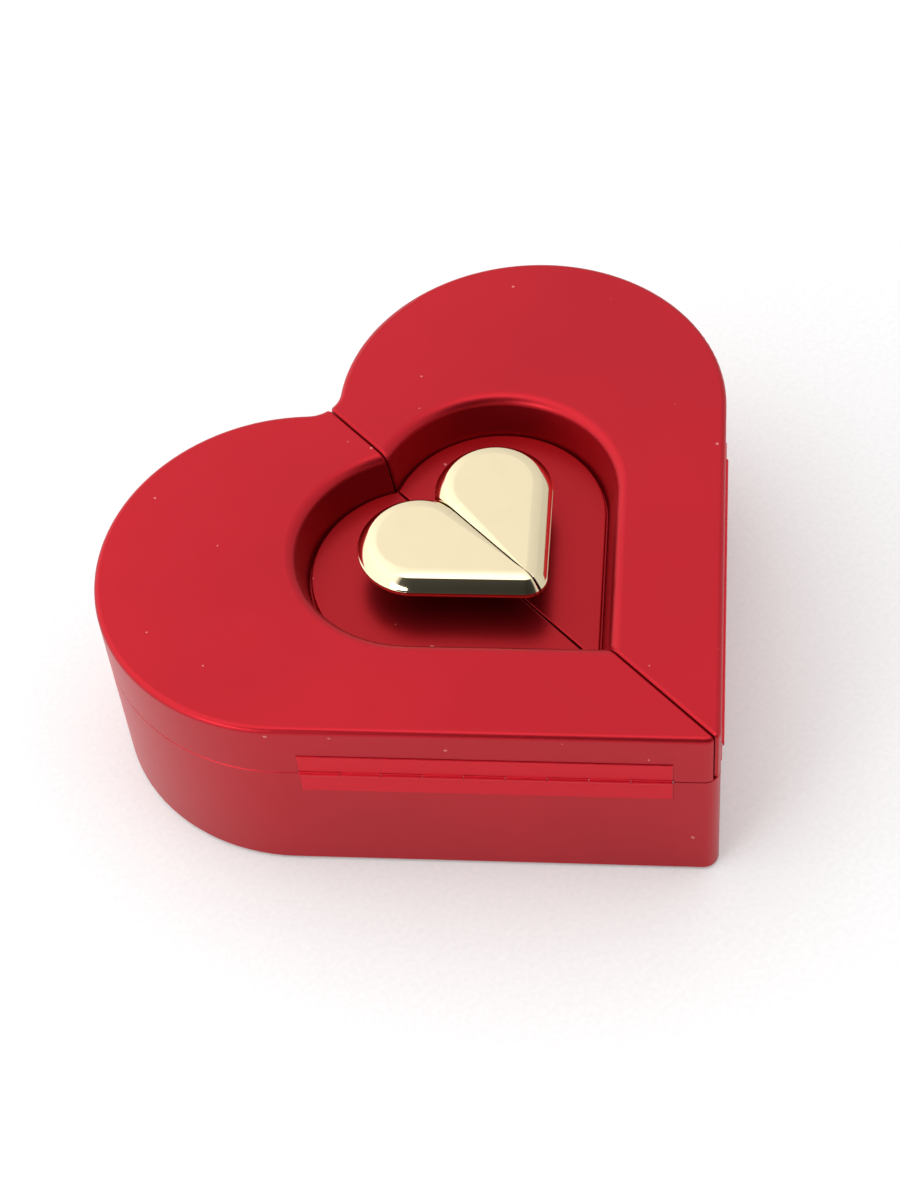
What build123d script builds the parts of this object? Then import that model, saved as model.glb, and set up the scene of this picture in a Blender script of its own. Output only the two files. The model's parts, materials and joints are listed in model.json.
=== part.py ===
"""Heart-shaped wind-up music box in millimetres.

The heart points towards -Y, is symmetric about X = 0 and stands on Z = 0. Its lid is split from notch to
point into two doors, each hinged along its straight side on a pinned strip, and pulled open by one half of
a gold heart. Under the doors a flocked tray frames a clear window over a key-wound comb movement.
"""

import os
from build123d import *
from math import atan2, cos, degrees, pi, radians, sin, sqrt

# ---------------------------------------------------------------- casing
SIDE = 85.0            # straight side of the heart, from its sharp point to where the lobe starts
LOBE = 40.3            # lobe radius
TIP_R = 3.2            # round on the point
NOTCH_R = 6.6          # round in the notch
WALL = 2.2             # casing wall
TOP = 44.9             # top of the lid
PARTING = 31.1         # height of the seam between base and lid
SEAM = 0.1             # half the seam's gap
SPLIT = 0.15           # half the gap between the two doors
SPLIT_WALL = 1.6       # door wall along the split
SKIN = 2.0             # lid top thickness
FOOT = 0.6             # how far the pads stand out below the casing
LID_EDGE_R = 1.2       # round on the lid's outer top edge
SPLIT_EDGE_R = 0.5     # round on the top edge along the split

# recess in the lid top, and the plate on its floor
RECESS_IN = 21.55      # from the casing's straight side to the recess's
RECESS_SIDE = 39.55
RECESS_LOBE = 24.55
RECESS_TAPER = 12.5    # wall draft in degrees
RECESS_FLOOR = 34.9
RECESS_EDGE_R = 2.4
BOWL_WALL = 1.6        # recess wall and floor
PLATE_T = 1.2          # recess plate
PLATE_GAP = 0.25
LINING_T = 0.5         # card that closes the door's underside

# handle, half a gold heart on each door
HANDLE_IN = 34.7       # from the casing's straight side to the handle's
HANDLE_SIDE = 26.3
HANDLE_LOBE = 11.9
HANDLE_TIP_R = 4.3
HANDLE_BASE = 42.1     # underside of the red carrier beneath the gold
CAP_BASE = 43.1
CAP_STEPS = [(0.0, 43.8), (0.45, 44.8), (1.5, 45.9), (4.2, 46.6)]   # inset and height, rim to top
CAP_HOLLOW_IN, CAP_HOLLOW = 2.2, 1.2
STEM_L, STEM_W = 17.0, 7.0
STEM_HOLE_R = 1.05
SCREW_SUNK = 0.9       # depth of the screw head's counterbore in the bowl

# hinge strips
STRIP_FROM, STRIP_TO = 9.0, 81.2   # along the straight side, from the sharp point
STRIP_H = 5.7          # each leaf's height
STRIP_T = 0.5
STRIP_SUNK = 0.3
KNUCKLE_R = 0.62       # knuckles turn about a line on the casing's face, at the seam
KNUCKLES = 9           # along one strip, the base's and the door's in turn
PIN_R, PIN_ROOM = 0.3, 0.05
HINGE_ROOM = 0.15      # room round the knuckles

# tray and what stands in it
TRAY_IN = 2.6
TRAY_TOP = 30.8
TRAY_T = 1.2
TRAY_LEDGE = 28.0      # top of the ledge that carries the tray
WELL_DEPTH = 12.0
WELL_IN = 8.0
WELL_X = 32.0          # inner edge of a lobe's well
WELL_Y = -27.0         # rear edge of the point's well
WINDOW_W, WINDOW_D, WINDOW_T = 55.0, 41.0, 1.2
MAGNET_R, MAGNET_T = 2.5, 2.0
MAGNET_X, MAGNET_Y = 7.0, 42.2

# bottom plate, key well
PLATE_BOTTOM, PLATE_TOP = 1.4, 3.4
WELL_R = 14.0
KEY_WELL_TOP = 11.4
KEY_WELL_WALL = 1.4

# ---------------------------------------------------------------- movement
BED_W, BED_D, BED_T = 54.0, 38.0, 1.8
BED_Y = -2.5
BED_Z = KEY_WELL_TOP
BED_TOP = BED_Z + BED_T
AXIS_Z = 20.2          # height of every level arbor
DRUM_Y = -3.0          # the cylinder's axis, and the spring barrel's
BARREL_X = -13.0
BARREL_R, BARREL_TOP = 8.2, 23.5
CROWN_TEETH, CROWN_PINION, CROWN_M = 34, 16, 0.6
CROWN_PITCH_Z = AXIS_Z - CROWN_PINION * CROWN_M / 2
DRUM_FROM, DRUM_TO, DRUM_R = -0.8, 21.0, 5.5
PIN_OUT = 0.55
NOTES = 18
NOTE_PITCH = 1.15
TRAIN_M = 0.4
DRUM_TEETH, LEAVES, WORM_TEETH = 30, 8, 24
WHEEL_Y = DRUM_Y + (DRUM_TEETH + LEAVES) * TRAIN_M / 2 + 0.05
WORM_R = 1.1
WORM_X = 23.8
WORM_Y = WHEEL_Y + WORM_TEETH * TRAIN_M / 2 + WORM_R + 0.05
ARBOR_R = 1.6          # winding arbor
RATCHET_Z, RATCHET_T = BED_TOP + 11.0, 0.9
FLY_R, FLY_H = 3.6, 1.4
FLY_Z = BED_TOP + 0.3
STOP_X, STOP_Y = 16.0, 21.8
STOP_TRAVEL = 1.4
BED_SCREWS = [(-24.0, -18.5), (-24.0, 13.0), (24.0, -18.5), (12.0, 13.5)]
COMB_X, COMB_Y = 10.1, -18.4      # middle of the comb's heel
COMB_SCREW_PITCH = 7.1
FOOT_T = 0.8                      # thickness of the brackets' feet
TRAIN_SCREW = (21.8, 5.0)
LEFT_SCREW = (1.0, 6.4)
BRIDGE_SCREW = (7.6, 9.3)
POST_X, POST_Y = -22.5, 6.5       # the click's post
CLICK_NOSE = 6.45                 # where the click's nose stops, from the barrel's axis

# ---------------------------------------------------------------- worked out
ROOT2 = sqrt(2)
CENTRE_X = (SIDE - LOBE) / ROOT2
DEEPEST = (SIDE + LOBE) / ROOT2 + LOBE
TIP_Y = -(DEEPEST + (ROOT2 - 1) * TIP_R) / 2
CENTRE_Y = TIP_Y + (SIDE + LOBE) / ROOT2
BASE_BOTTOM = FOOT
BASE_TOP = PARTING - SEAM
LID_BOTTOM = PARTING + SEAM
FAR = 200.0

os.makedirs("parts", exist_ok=True)


def save(name, shape):
    """Writes one node."""
    shape.label = name
    export_step(shape, f"parts/{name}.step")


def save_pair(name, right):
    """Writes a right-hand piece and its mirror image for the left door."""
    save(f"{name}_right", right)
    save(f"{name}_left", mirror(right, about=Plane.YZ))


def heart(side, lobe, tip_y, tip_r=0.0, notch_r=0.0):
    """Heart outline: two straight sides at 90 degrees, each running on into its lobe."""
    reach, pull = side / ROOT2, lobe / ROOT2
    lobe_y = tip_y + reach + pull
    with BuildSketch(mode=Mode.PRIVATE) as face:
        with BuildLine():
            Polyline(
                (0, tip_y), (reach, tip_y + reach), (reach - pull, lobe_y),
                (pull - reach, lobe_y), (-reach, tip_y + reach), close=True,
            )
        make_face()
        with Locations((reach - pull, lobe_y), (pull - reach, lobe_y)):
            Circle(lobe)
        if tip_r:
            fillet(face.vertices().sort_by(Axis.Y)[0], tip_r)
        if notch_r:
            middle = face.vertices().filter_by(lambda v: abs(v.X) < 0.01)
            fillet(middle.sort_by(Axis.Y)[-1], notch_r)
    return face.sketch


def casing(inset=0.0):
    """The casing's outline, moved inwards by inset."""
    return heart(
        SIDE - inset, LOBE - inset, TIP_Y + inset * ROOT2,
        max(TIP_R - inset, 0.4), NOTCH_R + inset,
    )


def recess(inset=0.0):
    """The lid recess's outline at the lid's top face, moved inwards by inset."""
    return heart(RECESS_SIDE - inset, RECESS_LOBE - inset, TIP_Y + (RECESS_IN + inset) * ROOT2)


def handle(inset=0.0):
    """Right half of the handle's outline, moved inwards by inset."""
    whole = heart(
        HANDLE_SIDE - inset, HANDLE_LOBE - inset, TIP_Y + (HANDLE_IN + inset) * ROOT2,
        max(HANDLE_TIP_R - inset, 0.4),
    )
    with BuildSketch(mode=Mode.PRIVATE) as half:
        add(whole)
        add(right_of(SPLIT), mode=Mode.INTERSECT)
    return half.sketch


def right_of(x, low=-FAR, high=FAR):
    """Rectangle over everything at X > x, between two values of Y."""
    with BuildSketch(mode=Mode.PRIVATE) as half:
        with Locations(((x + FAR) / 2, (low + high) / 2)):
            Rectangle(FAR - x, high - low)
    return half.sketch


def side_plane(z=0.0):
    """Plane on the right straight side: its X runs from the point, its Y upwards, its Z outwards."""
    return Plane(origin=(0, TIP_Y, z), x_dir=(1, 1, 0), z_dir=(1, -1, 0))


def gear_face(teeth, module, above, below, share, tip_share, phase=0.0):
    """Spur outline: flanks radial below the pitch circle and tapered above it."""
    pitch = teeth * module / 2
    half = share * pi * module / 2
    root = pitch - below * module
    with BuildSketch(mode=Mode.PRIVATE) as face:
        Circle(root + 0.02)
        with PolarLocations(0, teeth, start_angle=phase):
            Polygon(
                (root - 0.1, -half * root / pitch), (pitch, -half),
                (pitch + above * module, -tip_share * pi * module / 2),
                (pitch + above * module, tip_share * pi * module / 2),
                (pitch, half), (root - 0.1, half * root / pitch),
                align=None,
            )
    return face.sketch


def wheel_face(teeth, module, phase=0.0):
    """Driving wheel's outline."""
    return gear_face(teeth, module, 0.8, 1.25, 0.44, 0.16, phase)


def leaf_face(teeth, module, phase=0.0):
    """Pinion's outline: slim leaves, deep gaps."""
    return gear_face(teeth, module, 0.55, 1.15, 0.38, 0.2, phase)


def across(x, y=0.0, z=AXIS_Z):
    """Plane square to a level arbor along X, at x."""
    return Plane(origin=(x, y, z), x_dir=(0, 1, 0), z_dir=(1, 0, 0))


# ================================================================ lid doors
def door_shell():
    """Right-hand door: skirt, top, recess bowl and a wall along the split, open underneath."""
    with BuildPart() as cavity:
        with BuildSketch(Plane.XY.offset(LID_BOTTOM)):
            add(casing(WALL))
            add(right_of(SPLIT + SPLIT_WALL), mode=Mode.INTERSECT)
        extrude(amount=TOP - SKIN - LID_BOTTOM)
        with BuildSketch(Plane.XY.offset(TOP)):
            add(recess(-BOWL_WALL))
        extrude(amount=-(TOP - RECESS_FLOOR + BOWL_WALL), taper=RECESS_TAPER, mode=Mode.SUBTRACT)
    with BuildPart() as shell:
        with BuildSketch(Plane.XY.offset(LID_BOTTOM)):
            add(casing())
            add(right_of(SPLIT), mode=Mode.INTERSECT)
        extrude(amount=TOP - LID_BOTTOM)
        with BuildSketch(Plane.XY.offset(TOP)):
            add(recess())
        extrude(amount=-(TOP - RECESS_FLOOR), taper=RECESS_TAPER, mode=Mode.SUBTRACT)
        fillet(top_face(shell).edges().filter_by(recess_edge), RECESS_EDGE_R)
        fillet(top_face(shell).edges().filter_by(outer_edge), LID_EDGE_R)
        chamfer(top_face(shell).edges().filter_by(split_edge), SPLIT_EDGE_R)
        add(cavity.part, mode=Mode.SUBTRACT)
        with BuildSketch(side_plane(LID_BOTTOM)):
            with Locations(((STRIP_FROM + STRIP_TO) / 2, STRIP_H / 2)):
                Rectangle(STRIP_TO - STRIP_FROM + 0.1, STRIP_H + 0.1)
        extrude(amount=-STRIP_SUNK, mode=Mode.SUBTRACT)
        add(hinge_line(KNUCKLE_R + HINGE_ROOM, STRIP_FROM - 0.1, STRIP_TO + 0.1), mode=Mode.SUBTRACT)
        with Locations((stem_x(), stem_y(), RECESS_FLOOR)):
            Hole(1.3, depth=BOWL_WALL + 1)
        with Locations((stem_x(), stem_y(), RECESS_FLOOR - BOWL_WALL)):
            Cylinder(2.3, 2 * SCREW_SUNK, mode=Mode.SUBTRACT)
    return shell.part


def top_face(body):
    """Highest level face of a body."""
    return body.faces().filter_by(Plane.XY).sort_by(Axis.Z)[-1]


def split_edge(edge):
    """Whether an edge lies on a right-hand piece's split face."""
    return abs((edge @ 0.5).X - SPLIT) < 0.01


def outer_edge(edge):
    """Whether an edge of the lid's top face lies on the casing's outline."""
    return not split_edge(edge) and not recess_edge(edge, 3.0)


def hinge_line(r, start, end):
    """Round bar on the right-hand hinge's axis, between two distances from the point."""
    origin = Vector(start / ROOT2, TIP_Y + start / ROOT2, PARTING)
    with BuildPart(mode=Mode.PRIVATE) as bar:
        with BuildSketch(Plane(origin=origin, x_dir=(0, 0, 1), z_dir=(1, 1, 0))):
            Circle(r)
        extrude(amount=end - start)
    return bar.part


def recess_edge(edge, room=1.0):
    """Whether an edge of the lid's top face lies on the recess's outline, within room."""
    middle = edge @ 0.5
    tip = TIP_Y + RECESS_IN * ROOT2
    reach, pull = RECESS_SIDE / ROOT2, RECESS_LOBE / ROOT2
    lobe = Vector(reach - pull, tip + reach + pull, middle.Z)
    on_side = abs(abs(middle.X) - (middle.Y - tip)) / ROOT2 < room and middle.Y < tip + reach
    on_lobe = abs((Vector(abs(middle.X), middle.Y, middle.Z) - lobe).length - RECESS_LOBE) < room
    return middle.X > SPLIT + 0.01 and (on_side or on_lobe)


def stem_x():
    return SPLIT + 1.0 + STEM_W / 2


def stem_y():
    return TIP_Y + (HANDLE_IN * 2 + HANDLE_SIDE + HANDLE_LOBE) / ROOT2 - 2.0


def recess_plate():
    """Half-heart plate lying on the recess floor, its edge rounded."""
    drop = (TOP - RECESS_FLOOR) * sin(radians(RECESS_TAPER)) / cos(radians(RECESS_TAPER))
    with BuildPart() as plate:
        with BuildSketch(Plane.XY.offset(RECESS_FLOOR)):
            add(recess(drop + PLATE_GAP))
            add(right_of(SPLIT), mode=Mode.INTERSECT)
        extrude(amount=PLATE_T)
        fillet(plate.faces().sort_by(Axis.Z)[-1].edges(), 0.35)
        with Locations((stem_x(), stem_y(), RECESS_FLOOR + PLATE_T)):
            Hole(1.3)
    return plate.part


def door_lining():
    """Flocked panel that closes the door's underside, with a boss for the magnet."""
    with BuildPart() as lining:
        with BuildSketch(Plane.XY.offset(LID_BOTTOM + 0.1)):
            add(casing(WALL + 0.1))
            add(right_of(SPLIT + SPLIT_WALL + 0.1), mode=Mode.INTERSECT)
        extrude(amount=LINING_T)
        with Locations((MAGNET_X, MAGNET_Y, LID_BOTTOM + 0.1)):
            Cylinder(MAGNET_R + 1.2, MAGNET_T + 1.0, align=(Align.CENTER, Align.CENTER, Align.MIN))
            Cylinder(MAGNET_R + 0.05, MAGNET_T + 0.1, align=(Align.CENTER, Align.CENTER, Align.MIN),
                     mode=Mode.SUBTRACT)
        with Locations((stem_x(), stem_y(), LID_BOTTOM)):
            Cylinder(2.6, 6, mode=Mode.SUBTRACT)
    return lining.part


def magnet(z):
    """Closing magnet, its lower face at z."""
    with BuildPart() as disc:
        with Locations((MAGNET_X, MAGNET_Y, z)):
            Cylinder(MAGNET_R, MAGNET_T, align=(Align.CENTER, Align.CENTER, Align.MIN))
        chamfer(disc.edges().filter_by(GeomType.CIRCLE), 0.2)
    return disc.part


def handle_cap():
    """Half of the gold heart: an upright rim, then bevels that flatten towards the level top."""
    hollow = Plane.XY.offset(CAP_BASE)
    with BuildPart() as cap:
        with BuildSketch(Plane.XY.offset(CAP_BASE)):
            add(handle())
        extrude(amount=CAP_STEPS[0][1] - CAP_BASE)
        for (inset, low), (shoulder, high) in zip(CAP_STEPS, CAP_STEPS[1:]):
            with BuildSketch(Plane.XY.offset(low)):
                add(handle(inset))
            with BuildSketch(Plane.XY.offset(high)):
                add(handle(shoulder))
            loft(ruled=True)
        chamfer(cap.faces().filter_by(Plane.XY).group_by(Axis.Z)[-1].edges().filter_by(split_edge), 0.1)
        with BuildSketch(hollow):
            add(handle(CAP_HOLLOW_IN))
            add(right_of(SPLIT + CAP_HOLLOW_IN), mode=Mode.INTERSECT)
        extrude(amount=CAP_HOLLOW, mode=Mode.SUBTRACT)
    return cap.part


def handle_base():
    """Red carrier under the gold, with a stem to the recess plate and a spigot in the cap."""
    stem_foot = RECESS_FLOOR + PLATE_T
    with BuildPart() as carrier:
        with BuildSketch(Plane.XY.offset(HANDLE_BASE)):
            add(handle())
        extrude(amount=CAP_BASE - HANDLE_BASE)
        rim = carrier.faces().sort_by(Axis.Z)[0].edges()
        fillet(rim.filter_by(lambda e: not split_edge(e)), 0.9)
        with BuildSketch(Plane.XY.offset(CAP_BASE)):
            add(handle(CAP_HOLLOW_IN + 0.05))
            add(right_of(SPLIT + CAP_HOLLOW_IN + 0.05), mode=Mode.INTERSECT)
        extrude(amount=CAP_HOLLOW - 0.1)
        with Locations((stem_x(), stem_y(), stem_foot)):
            Box(STEM_W, STEM_L, HANDLE_BASE - stem_foot + 0.5, align=(Align.CENTER, Align.CENTER, Align.MIN))
            Cylinder(STEM_HOLE_R, 6.0, align=(Align.CENTER, Align.CENTER, Align.MIN), mode=Mode.SUBTRACT)
    return carrier.part


def pan_screw(x, y, seat, length, r=1.0, head=2.0, up=True):
    """Pan-head screw with a slot. Its head bears on z = seat and its shank runs the way up says."""
    way = 1 if up else -1
    with BuildPart() as screw:
        with BuildSketch(Plane.XZ):
            with BuildLine():
                Polyline((0, length), (0.6 * r, length), (r, length - 0.6 * r), (r, 0), (head, 0),
                         (head, -0.7), (head - 0.4, -1.1), (0, -1.1), close=True)
            make_face()
        revolve(axis=Axis.Z)
        with Locations((0, 0, -1.1)):
            Box(head * 3, 0.45, 0.9, mode=Mode.SUBTRACT)
    return screw.part.moved(Location((x, y, seat), (0 if way > 0 else 180, 0, 0)))


def leaf(upper):
    """Door's or base's leaf of the right-hand strip hinge, let into the wall, with its knuckles."""
    hand = 1 if upper else -1
    inner = KNUCKLE_R + HINGE_ROOM + 0.05
    length = (STRIP_TO - STRIP_FROM) / KNUCKLES
    with BuildPart() as strip:
        with BuildSketch(side_plane(PARTING).offset(-STRIP_SUNK)):
            with Locations(((STRIP_FROM + STRIP_TO) / 2, hand * (STRIP_H + inner) / 2)):
                Rectangle(STRIP_TO - STRIP_FROM, STRIP_H - inner)
        extrude(amount=STRIP_T)
        face = strip.faces().filter_by(lambda f: f.normal_at().dot(Vector(1, -1, 0)) > 1).sort_by(Axis.Z)[0]
        rim = face.edges().sort_by(Axis.Z if upper else -Axis.Z)
        chamfer(rim[1:], 0.15)
        for i in range(1 if upper else 0, KNUCKLES, 2):
            start = STRIP_FROM + i * length + 0.05
            end = start + length - 0.1
            add(hinge_line(KNUCKLE_R, start, end))
            with BuildSketch(side_plane(PARTING).offset(-STRIP_SUNK)):
                with Locations(((start + end) / 2, hand * inner / 2)):
                    Rectangle(end - start, inner + 0.1)
            extrude(amount=STRIP_T)
        add(hinge_line(PIN_R + PIN_ROOM, STRIP_FROM - 1, STRIP_TO + 1), mode=Mode.SUBTRACT)
    return strip.part


def hinge_pin():
    """Right-hand hinge's pin, its ends domed."""
    with BuildPart() as pin:
        add(hinge_line(PIN_R, STRIP_FROM - 0.05, STRIP_TO + 0.05))
        chamfer(pin.edges().filter_by(GeomType.CIRCLE), 0.08)
    return pin.part


# ================================================================ base
def base_shell():
    """Wall of the base with a ledge for the tray, a ledge for the bottom plate and its screw bosses."""
    with BuildPart() as shell:
        with BuildSketch(Plane.XY.offset(BASE_BOTTOM)):
            add(casing())
        extrude(amount=BASE_TOP - BASE_BOTTOM)
        fillet(shell.faces().sort_by(Axis.Z)[0].edges(), 0.5)
        chamfer(shell.faces().sort_by(Axis.Z)[-1].edges(), 0.15)
        with BuildSketch(Plane.XY.offset(BASE_BOTTOM)):
            add(casing(WALL))
        extrude(amount=BASE_TOP - BASE_BOTTOM, mode=Mode.SUBTRACT)
        for z, width in ((PLATE_TOP, 2.6), (TRAY_LEDGE - 2.0, 2.4)):
            with BuildSketch(Plane.XY.offset(z)):
                add(casing(WALL - 0.2))
                add(casing(WALL + width), mode=Mode.SUBTRACT)
            extrude(amount=2.0)
        for x, y in boss_places():
            with Locations((x, y, PLATE_TOP)):
                Cylinder(3.2, 6.0, align=(Align.CENTER, Align.CENTER, Align.MIN))
                Cylinder(1.05, 5.0, align=(Align.CENTER, Align.CENTER, Align.MIN), mode=Mode.SUBTRACT)
        with BuildPart(mode=Mode.PRIVATE) as step:
            with BuildSketch(side_plane(BASE_TOP)):
                with Locations(((STRIP_FROM + STRIP_TO) / 2, -STRIP_H / 2)):
                    Rectangle(STRIP_TO - STRIP_FROM + 0.1, STRIP_H + 0.1)
            extrude(amount=-STRIP_SUNK)
        groove = hinge_line(KNUCKLE_R + HINGE_ROOM, STRIP_FROM - 0.1, STRIP_TO + 0.1)
        for cut in (step.part, groove):
            add(cut, mode=Mode.SUBTRACT)
            add(mirror(cut, about=Plane.YZ), mode=Mode.SUBTRACT)
    return shell.part


def boss_places():
    """Where the bottom plate is screwed on: at the point, and twice along each lobe."""
    places = [(0.0, TIP_Y + 8.5)]
    for angle in (-5.0, 112.0):
        x = CENTRE_X + (LOBE - 6.0) * cos(radians(angle))
        y = CENTRE_Y + (LOBE - 6.0) * sin(radians(angle))
        places += [(x, y), (-x, y)]
    return places


def bottom_plate():
    """Bottom plate with the key's well, the movement's posts and the stop plunger's guide."""
    with BuildPart() as plate:
        with BuildSketch(Plane.XY.offset(PLATE_BOTTOM)):
            add(casing(WALL + 0.1))
        extrude(amount=PLATE_TOP - PLATE_BOTTOM)
        with Locations((BARREL_X, DRUM_Y, PLATE_BOTTOM)):
            Cylinder(WELL_R + KEY_WELL_WALL, KEY_WELL_TOP - PLATE_BOTTOM,
                     align=(Align.CENTER, Align.CENTER, Align.MIN))
        for x, y in BED_SCREWS:
            with Locations((x, y, PLATE_BOTTOM)):
                Cylinder(2.6, KEY_WELL_TOP - PLATE_BOTTOM, align=(Align.CENTER, Align.CENTER, Align.MIN))
        with Locations((STOP_X, STOP_Y, PLATE_BOTTOM)):
            Cylinder(2.6, 14.0, align=(Align.CENTER, Align.CENTER, Align.MIN))
        with Locations((BARREL_X, DRUM_Y, PLATE_BOTTOM)):
            Cylinder(WELL_R, KEY_WELL_TOP - PLATE_BOTTOM - KEY_WELL_WALL,
                     align=(Align.CENTER, Align.CENTER, Align.MIN), mode=Mode.SUBTRACT)
            Cylinder(ARBOR_R + 0.3, 30.0, mode=Mode.SUBTRACT)
        for x, y in BED_SCREWS:
            with Locations((x, y, KEY_WELL_TOP - 5.0)):
                Cylinder(0.85, 5.0, align=(Align.CENTER, Align.CENTER, Align.MIN), mode=Mode.SUBTRACT)
        with Locations((STOP_X, STOP_Y, PLATE_TOP + 1.0)):
            Cylinder(1.05, 20.0, align=(Align.CENTER, Align.CENTER, Align.MIN), mode=Mode.SUBTRACT)
        for x, y in boss_places():
            with Locations((x, y, PLATE_BOTTOM)):
                Cylinder(1.1, 10.0, mode=Mode.SUBTRACT)
                Cylinder(2.2, 1.2, mode=Mode.SUBTRACT)
        edge = plate.faces().sort_by(Axis.Z)[0].edges().filter_by(GeomType.CIRCLE)
        chamfer(edge.filter_by(lambda e: abs(e.radius - WELL_R) < 0.01), 0.6)
    return plate.part


def bottom_screws():
    with BuildPart() as screws:
        for x, y in boss_places():
            add(pan_screw(x, y, PLATE_BOTTOM + 0.6, 6.0))
    return screws.part


def foot_pads():
    """Five self-adhesive pads; the box stands on them."""
    with BuildPart() as pads:
        with Locations((0, -45, 0), (-50, 8, 0), (50, 8, 0), (-24, 46, 0), (24, 46, 0)):
            Cylinder(4.5, PLATE_BOTTOM, align=(Align.CENTER, Align.CENTER, Align.MIN))
        chamfer(pads.faces().group_by(Axis.Z)[0].edges(), 0.3)
    return pads.part


def lobe_well(inset, top, bottom):
    """Solid filling one lobe's compartment."""
    with BuildPart(mode=Mode.PRIVATE) as well:
        with BuildSketch(Plane.XY.offset(bottom)) as face:
            add(casing(WELL_IN + inset))
            add(right_of(WELL_X + inset), mode=Mode.INTERSECT)
            fillet(face.vertices().filter_by(lambda v: abs(v.X - WELL_X - inset) < 0.01), 4.0 - inset)
        extrude(amount=top - bottom)
    return well.part


def point_well(inset, top, bottom):
    """Solid filling the compartment in the heart's point."""
    with BuildPart(mode=Mode.PRIVATE) as well:
        with BuildSketch(Plane.XY.offset(bottom)) as face:
            add(casing(WELL_IN + inset))
            with Locations((0, WELL_Y - inset - FAR / 2)):
                Rectangle(FAR, FAR, mode=Mode.INTERSECT)
            fillet(face.vertices().group_by(Axis.Y)[-1], 4.0 - inset)
        extrude(amount=top - bottom)
    return well.part


def tray():
    """Moulded tray: a deck on the ledge, three compartments and the window's rebate."""
    floor = TRAY_TOP - WELL_DEPTH
    with BuildPart() as body:
        with BuildSketch(Plane.XY.offset(TRAY_LEDGE)):
            add(casing(TRAY_IN))
        extrude(amount=TRAY_TOP - TRAY_LEDGE)
        fillet(body.faces().sort_by(Axis.Z)[-1].edges(), 0.8)
        for make in (lobe_well, point_well):
            outside = make(-TRAY_T, TRAY_LEDGE, floor - TRAY_T)
            add([outside, mirror(outside, about=Plane.YZ)])
        for make in (lobe_well, point_well):
            inside = make(0, FAR, floor)
            add([inside, mirror(inside, about=Plane.YZ)], mode=Mode.SUBTRACT)
        with Locations((0, BED_Y, TRAY_TOP)):
            Box(WINDOW_W - 5.0, WINDOW_D - 5.0, 20.0, mode=Mode.SUBTRACT)
        with Locations((0, BED_Y, TRAY_TOP - WINDOW_T - 0.6)):
            Box(WINDOW_W + 0.2, WINDOW_D + 0.2, 10.0, align=(Align.CENTER, Align.CENTER, Align.MIN),
                mode=Mode.SUBTRACT)
        for side in (-1, 1):
            with Locations((side * MAGNET_X, MAGNET_Y, TRAY_TOP - MAGNET_T)):
                Cylinder(MAGNET_R + 0.05, 10.0, align=(Align.CENTER, Align.CENTER, Align.MIN),
                         mode=Mode.SUBTRACT)
        with Locations((STOP_X, STOP_Y, TRAY_TOP)):
            Cylinder(1.5, 20.0, mode=Mode.SUBTRACT)
    return body.part


def window_pane():
    with BuildPart() as pane:
        with Locations((0, BED_Y, TRAY_TOP - WINDOW_T - 0.6)):
            Box(WINDOW_W, WINDOW_D, WINDOW_T, align=(Align.CENTER, Align.CENTER, Align.MIN))
        chamfer(pane.faces().sort_by(Axis.Z)[-1].edges(), 0.2)
    return pane.part


def window_frame():
    """Slim frame that holds the pane down."""
    with BuildPart() as frame:
        with BuildSketch(Plane.XY.offset(TRAY_TOP - 0.6)):
            with Locations((0, BED_Y)):
                Rectangle(WINDOW_W, WINDOW_D)
                RectangleRounded(WINDOW_W - 4.0, WINDOW_D - 4.0, 2.0, mode=Mode.SUBTRACT)
        extrude(amount=0.7)
        chamfer(frame.faces().sort_by(Axis.Z)[-1].edges(), 0.2)
    return frame.part


# ================================================================ movement, fixed parts
def bedplate():
    with BuildPart() as bed:
        with Locations((0, BED_Y, BED_Z)):
            Box(BED_W, BED_D, BED_T, align=(Align.CENTER, Align.CENTER, Align.MIN))
        fillet(bed.edges().filter_by(Axis.Z), 3.0)
        chamfer(bed.faces().sort_by(Axis.Z)[-1].edges(), 0.3)
        with Locations((BARREL_X, DRUM_Y, BED_Z)):
            Cylinder(ARBOR_R + 0.05, 10.0, mode=Mode.SUBTRACT)
        with Locations((WORM_X, WORM_Y, BED_Z)):
            Cylinder(0.55, 10.0, mode=Mode.SUBTRACT)
        for x, y in BED_SCREWS:
            with Locations((x, y, BED_Z)):
                Cylinder(0.9, 10.0, mode=Mode.SUBTRACT)
        for x, y in fixing_places():
            with Locations((x, y, BED_Z)):
                Cylinder(0.75, 10.0, mode=Mode.SUBTRACT)
    return bed.part


def comb_places():
    """The comb's three screws."""
    return [(COMB_X + side * COMB_SCREW_PITCH, COMB_Y) for side in (-1, 0, 1)]


def fixing_places():
    """Screws that hold the comb and the brackets on the bedplate."""
    return comb_places() + [LEFT_SCREW, TRAIN_SCREW, BRIDGE_SCREW]


def bed_screws():
    with BuildPart() as screws:
        for x, y in BED_SCREWS:
            add(pan_screw(x, y, BED_TOP, 6.0, 0.8, 1.6, up=False))
    return screws.part


def fixing_screws():
    """Small screws of the comb and brackets. The comb's have the thickness of block and comb beneath them."""
    with BuildPart() as screws:
        for x, y in fixing_places():
            high = AXIS_Z + 0.8 if (x, y) in comb_places() else BED_TOP + FOOT_T
            add(pan_screw(x, y, high, high - BED_Z - 0.3, 0.7, 1.35, up=False))
    return screws.part


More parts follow.
